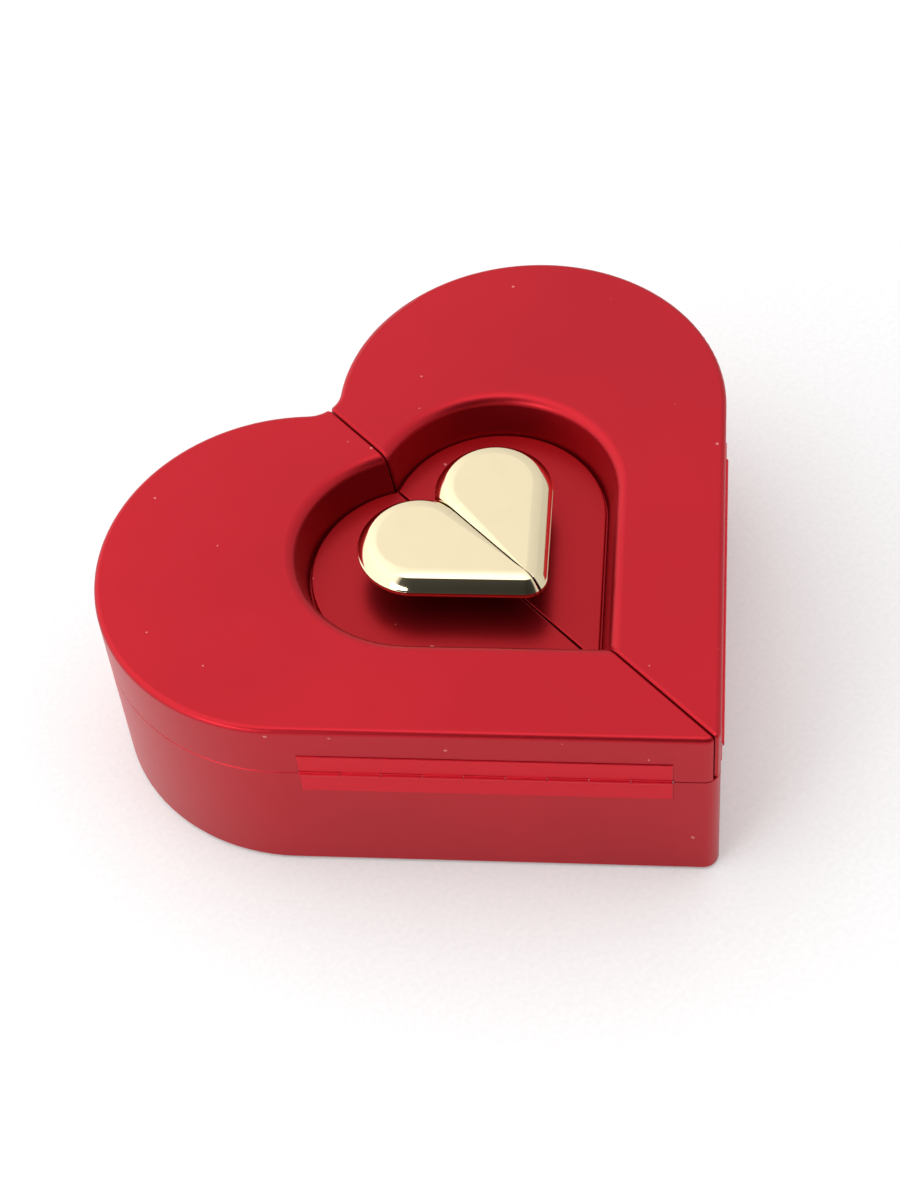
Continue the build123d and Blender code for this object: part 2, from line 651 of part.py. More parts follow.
def comb_block():
    """Block under the comb's heel."""
    with BuildPart() as block:
        with Locations((COMB_X, COMB_Y + 0.2, BED_TOP)):
            Box(24.0, 5.0, AXIS_Z - 0.2 - BED_TOP, align=(Align.CENTER, Align.CENTER, Align.MIN))
        for x, y in comb_places():
            with Locations((x, y, BED_TOP)):
                Cylinder(0.75, 30.0, mode=Mode.SUBTRACT)
        chamfer(block.edges().filter_by(Axis.Z), 0.5)
    return block.part


def note_x(note):
    """Where a note's tooth and its pins stand along the cylinder."""
    return COMB_X + (note - (NOTES - 1) / 2) * NOTE_PITCH


def comb():
    """Steel comb. The low notes' teeth are longer, and every tooth ends just short of the pins' path."""
    tip = DRUM_Y - DRUM_R - PIN_OUT - 0.12
    with BuildPart() as plate:
        with BuildSketch(Plane.XY.offset(AXIS_Z - 0.2)):
            with Locations((COMB_X, COMB_Y + 0.3)):
                Rectangle(24.0, 5.2)
            for note in range(NOTES):
                with Locations((note_x(note), (tip - 17.0) / 2)):
                    Rectangle(0.8, tip + 17.0)
            with BuildLine():
                Polyline((-1.0, -15.8), (21.2, -15.8), (21.2, -13.0), (-1.0, -15.6), close=True)
            make_face()
        extrude(amount=1.0)
        with Locations((COMB_X, (tip - 15.0) / 2, AXIS_Z + 0.8)):
            Box(26.0, tip + 15.0, 0.5, align=(Align.CENTER, Align.MIN, Align.MAX), mode=Mode.SUBTRACT)
        for x, y in comb_places():
            with Locations((x, y, AXIS_Z)):
                Cylinder(0.75, 10.0, mode=Mode.SUBTRACT)
    return plate.part


def left_bracket():
    """Upright between the pinion and the cylinder, with a foot behind it."""
    x = -1.55
    with BuildPart() as bracket:
        with Locations((x, DRUM_Y, BED_TOP)):
            Box(FOOT_T, 7.0, 10.0, align=(Align.CENTER, Align.CENTER, Align.MIN))
        with Locations((x, DRUM_Y + 7.0, BED_TOP)):
            Box(FOOT_T, 8.0, FOOT_T, align=(Align.CENTER, Align.CENTER, Align.MIN))
        with Locations((0.4, LEFT_SCREW[1], BED_TOP)):
            Box(4.7, 4.0, FOOT_T, align=(Align.CENTER, Align.CENTER, Align.MIN))
        fillet(bracket.edges().filter_by(Axis.X).group_by(Axis.Z)[-1], 3.0)
        with Locations((x, DRUM_Y, AXIS_Z)):
            Cylinder(0.85, 6.0, rotation=(0, 90, 0), mode=Mode.SUBTRACT)
        with Locations((*LEFT_SCREW, BED_TOP)):
            Cylinder(0.75, 6.0, mode=Mode.SUBTRACT)
    return bracket.part


def train_bracket():
    """U-shaped bracket: its outer cheek carries the cylinder and the wheel, its inner one the wheel alone."""
    outer, inner = 25.7, 19.3
    back = 6.7
    with BuildPart() as bracket:
        with Locations((outer, back, BED_TOP)):
            Box(FOOT_T, 13.2, 10.0, align=(Align.CENTER, Align.MAX, Align.MIN))
        with Locations((inner, back, BED_TOP)):
            Box(FOOT_T, 4.2, 9.0, align=(Align.CENTER, Align.MAX, Align.MIN))
        with Locations(((outer + inner) / 2, back, BED_TOP)):
            Box(outer - inner + FOOT_T, 3.5, FOOT_T, align=(Align.CENTER, Align.MAX, Align.MIN))
        fillet(bracket.edges().filter_by(Axis.X).group_by(Axis.Z)[-1], 1.5)
        with Locations((outer, DRUM_Y, AXIS_Z)):
            Cylinder(0.85, 4.0, rotation=(0, 90, 0), mode=Mode.SUBTRACT)
        with Locations(((outer + inner) / 2, WHEEL_Y, AXIS_Z)):
            Cylinder(0.65, 20.0, rotation=(0, 90, 0), mode=Mode.SUBTRACT)
        with Locations((*TRAIN_SCREW, BED_TOP)):
            Cylinder(0.75, 6.0, mode=Mode.SUBTRACT)
    return bracket.part


def governor_bridge():
    """Post and arm that hold the worm's upper pivot."""
    post_x, post_w, arm_z = 15.0, 1.2, BED_TOP + 12.0
    arm_from, arm_to = post_x - post_w / 2, WORM_X + 2.0
    with BuildPart() as bridge:
        with Locations((10.6, WORM_Y - 1.3, BED_TOP)):
            Box(10.0, 5.2, FOOT_T, align=(Align.CENTER, Align.CENTER, Align.MIN))
        with Locations((post_x, WORM_Y - 1.3, BED_TOP)):
            Box(post_w, 5.2, 12.6, align=(Align.CENTER, Align.CENTER, Align.MIN))
        with Locations(((arm_from + arm_to) / 2, WORM_Y, arm_z)):
            Box(arm_to - arm_from, 3.4, FOOT_T, align=(Align.CENTER, Align.CENTER, Align.MIN))
        with Locations((WORM_X, WORM_Y, arm_z)):
            Cylinder(0.55, 6.0, mode=Mode.SUBTRACT)
        with Locations((*BRIDGE_SCREW, BED_TOP)):
            Cylinder(0.75, 6.0, mode=Mode.SUBTRACT)
        with Locations((*BED_SCREWS[3], BED_TOP)):
            Cylinder(1.75, 3.0, mode=Mode.SUBTRACT)
    return bridge.part


def click_post():
    with BuildPart() as post:
        with Locations((POST_X, POST_Y, BED_TOP)):
            Cylinder(1.3, RATCHET_Z - BED_TOP, align=(Align.CENTER, Align.CENTER, Align.MIN))
            Cylinder(0.7, RATCHET_Z - BED_TOP + 2.0, align=(Align.CENTER, Align.CENTER, Align.MIN))
    return post.part


def click():
    """Pawl on its post, its nose just outside the ratchet's teeth."""
    x, y = POST_X - BARREL_X, POST_Y - DRUM_Y
    reach = sqrt(x * x + y * y)
    with BuildPart() as pawl:
        with BuildSketch(Plane.XY):
            with Locations((reach, 0)):
                Circle(1.8)
            with BuildLine():
                Polyline(
                    (reach - 0.5, 1.7), (CLICK_NOSE, 0.9), (CLICK_NOSE, -0.1), (reach - 0.5, -1.7),
                    close=True,
                )
            make_face()
            with Locations((reach, 0)):
                Circle(0.74, mode=Mode.SUBTRACT)
        extrude(amount=RATCHET_T)
    return pawl.part.moved(Location((BARREL_X, DRUM_Y, RATCHET_Z), (0, 0, degrees(atan2(y, x)))))


def base_magnets():
    with BuildPart() as discs:
        for side in (-1, 1):
            with Locations((side * MAGNET_X, MAGNET_Y, TRAY_TOP - MAGNET_T)):
                Cylinder(MAGNET_R, MAGNET_T, align=(Align.CENTER, Align.CENTER, Align.MIN))
        chamfer(discs.faces().group_by(Axis.Z)[-1].edges(), 0.2)
    return discs.part


# ================================================================ movement, moving parts
def winding_arbor():
    with BuildPart() as arbor:
        with Locations((BARREL_X, DRUM_Y, 5.0)):
            Cylinder(ARBOR_R, RATCHET_Z - 5.0, align=(Align.CENTER, Align.CENTER, Align.MIN))
            Cylinder(1.1, 25.8 - 5.0, align=(Align.CENTER, Align.CENTER, Align.MIN))
        chamfer(arbor.faces().sort_by(Axis.Z)[-1].edges(), 0.2)
    return arbor.part


def winding_key():
    """Folding-wing key in the well: a threaded hub with two flat wings."""
    with BuildPart() as key:
        with BuildSketch(Plane.XZ.offset(-DRUM_Y)) as wings:
            with Locations((BARREL_X - 6.6, 5.6), (BARREL_X + 6.6, 5.6)):
                Ellipse(5.4, 3.3)
            with Locations((BARREL_X, 6.2)):
                Rectangle(8.0, 3.6)
            with Locations((BARREL_X - 7.0, 5.6), (BARREL_X + 7.0, 5.6)):
                Circle(1.5, mode=Mode.SUBTRACT)
        extrude(amount=0.9, both=True)
        with Locations((BARREL_X, DRUM_Y, 2.6)):
            Cylinder(3.0, 6.8, align=(Align.CENTER, Align.CENTER, Align.MIN))
        with Locations((BARREL_X, DRUM_Y, 4.98)):
            Cylinder(ARBOR_R + 0.01, 20.0, align=(Align.CENTER, Align.CENTER, Align.MIN), mode=Mode.SUBTRACT)
    return key.part


def ratchet_wheel():
    """Saw-toothed wheel fixed on top of the winding arbor."""
    teeth, outer, inner = 20, 6.3, 5.5
    step = 360 / teeth
    points = []
    for i in range(teeth):
        points.append((outer * cos(radians(i * step)), outer * sin(radians(i * step))))
        points.append((inner * cos(radians(i * step + 1)), inner * sin(radians(i * step + 1))))
    with BuildPart() as wheel:
        with BuildSketch(Plane.XY.offset(RATCHET_Z)):
            with Locations((BARREL_X, DRUM_Y)):
                Polygon(*points, align=None)
                Circle(1.11, mode=Mode.SUBTRACT)
        extrude(amount=RATCHET_T)
    return wheel.part


def spring_barrel():
    low = CROWN_PITCH_Z - 0.7
    with BuildPart() as barrel:
        with Locations((BARREL_X, DRUM_Y, low)):
            Cylinder(BARREL_R, BARREL_TOP - low, align=(Align.CENTER, Align.CENTER, Align.MIN))
        with Locations((BARREL_X, DRUM_Y, low + 0.8)):
            Cylinder(BARREL_R - 0.6, 20.0, align=(Align.CENTER, Align.CENTER, Align.MIN), mode=Mode.SUBTRACT)
            Cylinder(ARBOR_R + 0.05, 20.0, mode=Mode.SUBTRACT)
    return barrel.part


def barrel_cover():
    with BuildPart() as cover:
        with Locations((BARREL_X, DRUM_Y, BARREL_TOP - 0.8)):
            Cylinder(BARREL_R - 0.62, 0.8, align=(Align.CENTER, Align.CENTER, Align.MIN))
            Cylinder(ARBOR_R + 0.05, 20.0, mode=Mode.SUBTRACT)
        chamfer(cover.faces().sort_by(Axis.Z)[-1].edges(), 0.15)
    return cover.part


def mainspring():
    """Spiral strip between the arbor and the barrel's wall."""
    turns, inner, outer, half = 6, ARBOR_R + 0.5, BARREL_R - 1.2, 0.13
    with BuildPart() as spring:
        with BuildSketch(Plane((BARREL_X, DRUM_Y, CROWN_PITCH_Z + 0.5))):
            with BuildLine():
                low = Spline(*spiral(turns, inner - half, outer - half))
                high = Spline(*spiral(turns, inner + half, outer + half))
                Line(low @ 0, high @ 0)
                Line(low @ 1, high @ 1)
            make_face()
        extrude(amount=6.2)
    return spring.part


def spiral(turns, inner, outer):
    """Points along a spiral, twelve to a turn."""
    points = []
    for i in range(12 * turns + 1):
        r = inner + (outer - inner) * i / (12 * turns)
        points.append((r * cos(pi * i / 6), r * sin(pi * i / 6)))
    return points


def crown_gear():
    """Face gear round the barrel's foot, its teeth upwards."""
    ring = CROWN_TEETH * CROWN_M / 2
    floor = CROWN_PITCH_Z - 1.25 * CROWN_M
    with BuildPart() as crown:
        with Locations((BARREL_X, DRUM_Y, BED_TOP + 0.2)):
            Cylinder(ring + 0.7, floor - BED_TOP - 0.2, align=(Align.CENTER, Align.CENTER, Align.MIN))
        with BuildSketch(Plane.XZ) as tooth:
            with Locations((0, floor - 0.05)):
                Trapezoid(0.95, 1.25, 76, align=(Align.CENTER, Align.MIN))
        with BuildPart(mode=Mode.PRIVATE) as blank:
            add(tooth.sketch)
            extrude(amount=0.7, both=True)
        for i in range(CROWN_TEETH):
            angle = 360 / CROWN_TEETH * (i + 0.5)
            x = BARREL_X + ring * cos(radians(angle))
            y = DRUM_Y + ring * sin(radians(angle))
            add(blank.part.moved(Location((x, y, 0), (0, 0, angle + 90))))
        with Locations((BARREL_X, DRUM_Y, BED_TOP)):
            Cylinder(BARREL_R + 0.01, 20.0, mode=Mode.SUBTRACT)
    return crown.part


def level_rod(r, start, end, y):
    """Round bar along X at arbor height."""
    with BuildPart() as rod:
        with BuildSketch(across(start, y)):
            Circle(r)
        extrude(amount=end - start)
    return rod.part


def cylinder_arbor():
    return level_rod(0.8, -3.6, 26.1, DRUM_Y)


def cylinder_drum():
    """Brass cylinder, its ends closed, with the tune's pins standing out of it."""
    with BuildPart() as drum:
        with BuildSketch(across(DRUM_FROM, DRUM_Y)):
            Circle(DRUM_R)
            Circle(0.81, mode=Mode.SUBTRACT)
        extrude(amount=DRUM_TO - DRUM_FROM)
        with BuildSketch(across(DRUM_FROM + 0.8, DRUM_Y)):
            Circle(DRUM_R - 0.8)
            Circle(2.0, mode=Mode.SUBTRACT)
        extrude(amount=DRUM_TO - DRUM_FROM - 1.6, mode=Mode.SUBTRACT)
        for note in range(NOTES):
            for beat in range(3):
                angle = (note * 97 + beat * 131 + note * note * 11) % 340 - 80
                axis = Location((note_x(note), DRUM_Y, AXIS_Z), (angle, 0, 0))
                with Locations(axis * Location((0, 0, DRUM_R - 0.3))):
                    Cylinder(0.22, PIN_OUT + 0.3, align=(Align.CENTER, Align.CENTER, Align.MIN))
    return drum.part


def cylinder_pinion():
    with BuildPart() as pinion:
        with BuildSketch(across(-3.6, DRUM_Y)):
            add(gear_face(CROWN_PINION, CROWN_M, 0.7, 1.2, 0.36, 0.18))
            Circle(0.81, mode=Mode.SUBTRACT)
        extrude(amount=1.4)
    return pinion.part


def cylinder_gear():
    with BuildPart() as gear:
        with BuildSketch(across(21.3, DRUM_Y)):
            add(wheel_face(DRUM_TEETH, TRAIN_M))
            Circle(0.81, mode=Mode.SUBTRACT)
        extrude(amount=1.2)
    return gear.part


def wheel_arbor():
    """Arbor cut with the pinion's leaves."""
    with BuildPart() as arbor:
        add(level_rod(0.6, 18.9, 26.1, WHEEL_Y))
        with BuildSketch(across(21.3, WHEEL_Y)):
            add(leaf_face(LEAVES, TRAIN_M, 180 / LEAVES))
        extrude(amount=1.2)
    return arbor.part


def worm_wheel():
    with BuildPart() as wheel:
        with BuildSketch(across(WORM_X - 0.4, WHEEL_Y)):
            add(gear_face(WORM_TEETH, TRAIN_M, 0.7, 1.3, 0.26, 0.14, 180 / WORM_TEETH))
            Circle(0.61, mode=Mode.SUBTRACT)
        extrude(amount=0.8)
    return wheel.part


def governor_worm():
    """Upright worm with one thread, on slim pivots."""
    lead = pi * TRAIN_M
    start = AXIS_Z - 0.75 * lead - lead
    with BuildPart() as worm:
        with Locations((0, 0, BED_Z + 0.4)):
            Cylinder(0.5, 26.0 - BED_Z - 0.4, align=(Align.CENTER, Align.CENTER, Align.MIN))
        with Locations((0, 0, BED_TOP + 2.5)):
            Cylinder(0.68, 7.0, align=(Align.CENTER, Align.CENTER, Align.MIN))
        with BuildLine():
            path = Helix(pitch=lead, height=lead * 3.5, radius=0.6, center=(0, 0, start))
        with BuildSketch(Plane(origin=path @ 0, x_dir=(1, 0, 0), z_dir=path % 0)):
            with BuildLine():
                Polyline((0, -0.24), (0.8, -0.1), (0.8, 0.1), (0, 0.24), close=True)
            make_face()
        sweep(path=path, is_frenet=True)
    return worm.part.moved(Location((WORM_X, WORM_Y, 0)))


def fly():
    """Two-bladed air brake on the worm."""
    with BuildPart() as fan:
        with Locations((WORM_X, WORM_Y, FLY_Z)):
            Cylinder(1.2, FLY_H, align=(Align.CENTER, Align.CENTER, Align.MIN))
            Box(2 * FLY_R - 0.1, 0.5, FLY_H, align=(Align.CENTER, Align.CENTER, Align.MIN))
        with Locations((WORM_X, WORM_Y, FLY_Z)):
            Cylinder(0.51, 10.0, mode=Mode.SUBTRACT)
    return fan.part


def stop_plunger():
    """Rod pressed down by the closed door, with a collar and a wire that reaches the fly."""
    with BuildPart() as rod:
        with Locations((STOP_X, STOP_Y, 6.5)):
            Cylinder(1.0, LID_BOTTOM + 0.05 - 6.5, align=(Align.CENTER, Align.CENTER, Align.MIN))
        with Locations((STOP_X, STOP_Y, 21.6)):
            Cylinder(2.0, 1.0, align=(Align.CENTER, Align.CENTER, Align.MIN))
        with BuildLine():
            x, y = STOP_X + 5.75, STOP_Y - 7.25
            wire = Polyline((STOP_X, STOP_Y, 22.1), (x, y, 22.1), (x, y, FLY_Z + 0.6))
        with BuildSketch(Plane(origin=wire @ 0, z_dir=wire % 0)):
            Circle(0.35)
        sweep(path=wire, transition=Transition.RIGHT)
    return rod.part


def plunger_spring():
    """Light coil under the plunger's collar."""
    with BuildPart() as coil:
        with BuildLine():
            path = Helix(pitch=1.3, height=5.2, radius=1.55, center=(STOP_X, STOP_Y, 15.9))
        with BuildSketch(Plane(origin=path @ 0, z_dir=path % 0)):
            Circle(0.22)
        sweep(path=path, is_frenet=True)
    return coil.part


save_pair("door_shell", door_shell())
save_pair("recess_plate", recess_plate())
save_pair("door_lining", door_lining())
save_pair("door_magnet", magnet(LID_BOTTOM + 0.15))
save_pair("handle_cap", handle_cap())
save_pair("handle_base", handle_base())
save_pair("handle_screw", pan_screw(stem_x(), stem_y(), RECESS_FLOOR - BOWL_WALL + SCREW_SUNK, 6.6))
save_pair("hinge_leaf_door", leaf(True))
save_pair("hinge_leaf_base", leaf(False))
save_pair("hinge_pin", hinge_pin())

save("base_shell", base_shell())
save("bottom_plate", bottom_plate())
save("bottom_screws", bottom_screws())
save("foot_pads", foot_pads())
save("tray", tray())
save("window_pane", window_pane())
save("window_frame", window_frame())
save("base_magnets", base_magnets())

save("bedplate", bedplate())
save("bed_screws", bed_screws())
save("fixing_screws", fixing_screws())
save("comb_block", comb_block())
save("comb", comb())
save("left_bracket", left_bracket())
save("train_bracket", train_bracket())
save("governor_bridge", governor_bridge())
save("click_post", click_post())
save("click", click())

save("winding_arbor", winding_arbor())
save("winding_key", winding_key())
save("ratchet_wheel", ratchet_wheel())
save("spring_barrel", spring_barrel())
save("barrel_cover", barrel_cover())
save("mainspring", mainspring())
save("crown_gear", crown_gear())
save("cylinder_arbor", cylinder_arbor())
save("cylinder_drum", cylinder_drum())
save("cylinder_pinion", cylinder_pinion())
save("cylinder_gear", cylinder_gear())
save("wheel_arbor", wheel_arbor())
save("worm_wheel", worm_wheel())
save("governor_worm", governor_worm())
save("fly", fly())
save("stop_plunger", stop_plunger())
save("plunger_spring", plunger_spring())
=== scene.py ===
"""Looks for the heart-shaped wind-up music box: materials, fine pieces, studio and camera, in metres."""

import json
import math
import random

import bmesh
import bpy
from mathutils import Matrix, Vector


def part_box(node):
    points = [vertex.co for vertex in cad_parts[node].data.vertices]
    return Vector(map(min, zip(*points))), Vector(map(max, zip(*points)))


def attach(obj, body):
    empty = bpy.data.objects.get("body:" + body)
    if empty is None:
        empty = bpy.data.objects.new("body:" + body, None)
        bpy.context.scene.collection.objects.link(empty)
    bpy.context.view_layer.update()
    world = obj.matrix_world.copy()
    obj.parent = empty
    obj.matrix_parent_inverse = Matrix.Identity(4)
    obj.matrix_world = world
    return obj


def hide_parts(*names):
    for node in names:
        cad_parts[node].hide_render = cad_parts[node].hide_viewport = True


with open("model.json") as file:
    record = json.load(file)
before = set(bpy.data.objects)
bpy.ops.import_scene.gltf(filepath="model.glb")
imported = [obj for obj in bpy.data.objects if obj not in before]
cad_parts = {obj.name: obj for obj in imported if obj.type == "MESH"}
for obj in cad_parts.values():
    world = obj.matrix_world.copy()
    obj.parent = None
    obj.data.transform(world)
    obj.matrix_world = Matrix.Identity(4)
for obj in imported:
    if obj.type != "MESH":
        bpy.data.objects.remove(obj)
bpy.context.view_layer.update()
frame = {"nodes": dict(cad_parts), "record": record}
nodes = frame["nodes"]
MM = 0.001


# ---------------------------------------------------------------- helpers
def ramp(tree, value, stops):
    """Colours over a value from 0 to 1. Each stop is (place, colour)."""
    node = tree.nodes.new("ShaderNodeValToRGB")
    elements = node.color_ramp.elements
    while len(elements) < len(stops):
        elements.new(0.5)
    for element, (place, colour) in zip(elements, stops):
        element.position = place
        element.color = (*colour, 1)
    tree.links.new(value, node.inputs["Fac"])
    return node.outputs["Color"]


class Nodes:
    """Short words for building a material's nodes."""

    def __init__(self, name):
        self.material = bpy.data.materials.new(name)
        self.material.use_nodes = True
        self.tree = self.material.node_tree
        self.shader = self.tree.nodes["Principled BSDF"]

    def add(self, kind, **inputs):
        node = self.tree.nodes.new(kind)
        for key, value in inputs.items():
            node.inputs[key.replace("_", " ")].default_value = value
        return node

    def link(self, source, target):
        self.tree.links.new(source, target)

    def set(self, **inputs):
        for key, value in inputs.items():
            self.shader.inputs[key.replace("_", " ")].default_value = value

    def place(self, stretch=(1, 1, 1)):
        """Object coordinates, stretched along each axis."""
        where = self.add("ShaderNodeTexCoord")
        mapping = self.add("ShaderNodeMapping")
        mapping.inputs["Scale"].default_value = stretch
        self.link(where.outputs["Object"], mapping.inputs["Vector"])
        return mapping.outputs["Vector"]

    def noise(self, scale, detail=3.0, rough=0.5, vector=None):
        node = self.add("ShaderNodeTexNoise", Scale=scale, Detail=detail, Roughness=rough)
        self.link(vector or self.place(), node.inputs["Vector"])
        return node.outputs["Fac"]

    def span(self, value, low, high, start=0.3, end=0.7):
        """Maps start..end of a value onto low..high."""
        node = self.add("ShaderNodeMapRange")
        node.inputs["From Min"].default_value = start
        node.inputs["From Max"].default_value = end
        node.inputs["To Min"].default_value = low
        node.inputs["To Max"].default_value = high
        self.link(value, node.inputs["Value"])
        return node.outputs["Result"]

    def mix(self, value, low, high):
        """Colour between low and high."""
        return ramp(self.tree, value, [(0.0, low), (1.0, high)])

    def bump(self, height, strength, distance, after=None):
        node = self.add("ShaderNodeBump", Strength=strength, Distance=distance)
        self.link(height, node.inputs["Height"])
        if after:
            self.link(after, node.inputs["Normal"])
        return node.outputs["Normal"]

    def finish(self, colour=None, roughness=None, normal=None):
        for source, target in ((colour, "Base Color"), (roughness, "Roughness"), (normal, "Normal")):
            if source:
                self.link(source, self.shader.inputs[target])
        return self.material


def tinted(colour, factor):
    """Lighter or darker colour."""
    return tuple(min(1.0, c * factor) for c in colour)


def new_object(name, work, material):
    """Object made from a finished bmesh, in one material."""
    mesh = bpy.data.meshes.new(name)
    work.to_mesh(mesh)
    work.free()
    mesh.materials.append(material)
    made = bpy.data.objects.new(name, mesh)
    bpy.context.scene.collection.objects.link(made)
    return made


# ---------------------------------------------------------------- materials
DUST = (0.75, 0.3, 0.3, 1)


def lacquer(name, colour, roughness=0.38, coat=0.12, flake=0.5):
    """Satin metallic lacquer: fine flake in its surface, a faint orange-peel and a few specks of dust."""
    n = Nodes(name)
    cloud = n.span(n.noise(22), 0.0, 1.0)
    shade = n.mix(cloud, tinted(colour, 0.95), tinted(colour, 1.05))
    grain = n.noise(5200, 2.0)
    orange_peel = n.noise(900, 2.0)
    dusty = n.span(n.noise(640, 0.0), 0.0, 0.55, 0.878, 0.888)
    blend = n.add("ShaderNodeMix")
    blend.data_type = "RGBA"
    n.link(dusty, blend.inputs["Factor"])
    n.link(shade, blend.inputs["A"])
    blend.inputs["B"].default_value = DUST
    normal = n.bump(grain, 0.10 * flake, 0.00006, n.bump(orange_peel, 0.05, 0.00012))
    n.set(Metallic=0.9, Coat_Weight=coat, Coat_Roughness=0.3)
    return n.finish(blend.outputs["Result"], n.span(grain, roughness - 0.04, roughness + 0.05), normal)


def plated(name, colour, roughness, wear=0.03):
    """Polished plating, with faint wiping marks in its gloss."""
    n = Nodes(name)
    smear = n.noise(180, 4.0, 0.6, n.place((1, 1, 3)))
    shade = n.mix(n.span(smear, 0, 1), tinted(colour, 0.985), tinted(colour, 1.01))
    ripple = n.noise(420, 1.0)
    n.set(Metallic=1.0)
    return n.finish(shade, n.span(smear, roughness, roughness + wear), n.bump(ripple, 0.03, 0.00008))


def brushed(name, colour, roughness, stretch):
    """Metal with fine parallel tool marks across the stretched axis."""
    n = Nodes(name)
    marks = n.noise(2600, 3.0, 0.6, n.place(stretch))
    shade = n.mix(n.span(marks, 0, 1), tinted(colour, 0.85), tinted(colour, 1.1))
    n.set(Metallic=1.0)
    return n.finish(shade, n.span(marks, roughness - 0.06, roughness + 0.1), n.bump(marks, 0.15, 0.00003))


def moulded(name, colour, roughness, grain=1400, depth=0.00005, subsurface=0.0):
    """Moulded plastic or rubber with a fine etched grain."""
    n = Nodes(name)
    etch = n.noise(grain, 3.0)
    cloud = n.noise(60)
    shade = n.mix(n.span(cloud, 0, 1), tinted(colour, 0.88), tinted(colour, 1.12))
    n.set(Subsurface_Weight=subsurface, Subsurface_Scale=0.001)
    return n.finish(shade, n.span(etch, roughness - 0.05, roughness + 0.08), n.bump(etch, 0.35, depth))


def flocking(name, colour):
    """Short dense flock: soft sheen, brushed patches and a fuzzy surface."""
    n = Nodes(name)
    fibre = n.noise(6500, 2.0)
    patches = n.noise(90, 3.0)
    shade = n.mix(n.span(patches, 0, 1), tinted(colour, 0.7), tinted(colour, 1.35))
    normal = n.bump(fibre, 0.7, 0.00025, n.bump(patches, 0.1, 0.0004))
    n.set(Sheen_Weight=0.8, Sheen_Roughness=0.35, Sheen_Tint=(*tinted(colour, 3.0), 1))
    return n.finish(shade, n.span(fibre, 0.85, 1.0), normal)


def film(name, colour):
    """Flexible plastic film of the hinge: glossier than the lacquer, with drawn lines along it."""
    n = Nodes(name)
    drawn = n.noise(700, 2.0, 0.5, n.place((1, 1, 7)))
    shade = n.mix(n.span(drawn, 0, 1), tinted(colour, 0.93), tinted(colour, 1.07))
    n.set(Metallic=0.7, Specular_IOR_Level=0.3)
    return n.finish(shade, n.span(drawn, 0.33, 0.42), n.bump(drawn, 0.08, 0.00006))


def acrylic(name):
    """Clear window with hairline scratches."""
    n = Nodes(name)
    hairlines = n.noise(900, 2.0, 0.6, n.place((1, 9, 1)))
    n.set(Transmission_Weight=1.0, IOR=1.49)
    colour = n.mix(n.span(hairlines, 0, 1), (0.95, 0.97, 0.98), (1, 1, 1))
    return n.finish(colour, n.span(hairlines, 0.02, 0.06, 0.5, 0.9), n.bump(hairlines, 0.02, 0.00002))


RED = (0.44, 0.009, 0.018)
PLATE_RED = (0.35, 0.005, 0.010)
finishes = {
    "red_paint": lacquer("red_lacquer", RED),
    "red_plate": lacquer("plate_lacquer", PLATE_RED, 0.33, 0.15, 0.3),
    "hinge_red": film("hinge_moulding", (0.59, 0.007, 0.019)),
    "gold": plated("gold_plating", (0.73, 0.63, 0.42), 0.05),
    "velvet": flocking("flocking", (0.09, 0.008, 0.014)),
    "black_plastic": moulded("black_plastic", (0.03, 0.03, 0.032), 0.5),
    "clear": acrylic("clear_acrylic"),
    "pad_rubber": moulded("pad_rubber", (0.045, 0.045, 0.045), 0.7, 900, 0.00008),
    "steel": brushed("ground_steel", (0.56, 0.56, 0.57), 0.28, (1, 9, 1)),
    "nickel": plated("nickel_plating", (0.72, 0.7, 0.66), 0.12),
    "brass": brushed("turned_brass", (0.78, 0.56, 0.25), 0.24, (9, 1, 1)),
    "zinc": moulded("cast_zinc", (0.42, 0.42, 0.43), 0.5, 700, 0.00008),
    "white_plastic": moulded("nylon", (0.82, 0.81, 0.77), 0.42, 1800, 0.00003, 0.2),
}
finishes["zinc"].node_tree.nodes["Principled BSDF"].inputs["Metallic"].default_value = 0.8
for entry in frame["record"]["subparts"]:
    piece = nodes[entry["node"]]
    piece.data.materials.clear()
    piece.data.materials.append(finishes[entry["material_slot"]])


# ---------------------------------------------------------------- eased edges
EASE_WIDTH, EASE_ANGLE = 0.4, 50       # mm, and the least angle in degrees of an edge that is eased
for plate in ("recess_plate_right", "recess_plate_left"):
    ease = nodes[plate].modifiers.new("eased_edge", "BEVEL")
    ease.width, ease.segments = EASE_WIDTH * MM, 3
    ease.limit_method, ease.angle_limit = "ANGLE", math.radians(EASE_ANGLE)


# ---------------------------------------------------------------- gold heart
ROOT2 = math.sqrt(2)
# The handle's outline in mm: straight side, lobe's radius, point's radius, and each half's gap to the middle.
CAP_SIDE, CAP_LOBE, CAP_TIP_R, CAP_SPLIT = 26.3, 11.9, 4.3, 0.15
LEAST_TIP_R = 0.3
cap_low, cap_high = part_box("handle_cap_right")
CAP_TIP_Y = cap_high.y / MM - (CAP_SIDE + CAP_LOBE) / ROOT2 - CAP_LOBE
CAP_FOOT, CAP_TOP = cap_low.z / MM, cap_high.z / MM
RIM_OUT, RIM_TALL = 0.15, 0.85         # how far the upright rim stands out from the outline, and its height
# Stretches of the domed edge, inwards: width in mm, and the tilt in degrees where each starts and ends.
BEVEL = [(1.9, 57, 44), (0.2, 44, 24), (1.6, 22, 12), (0.4, 12, 2)]
BEVEL_CUTS, LOBE_CUTS, TIP_CUTS = 8, 40, 10


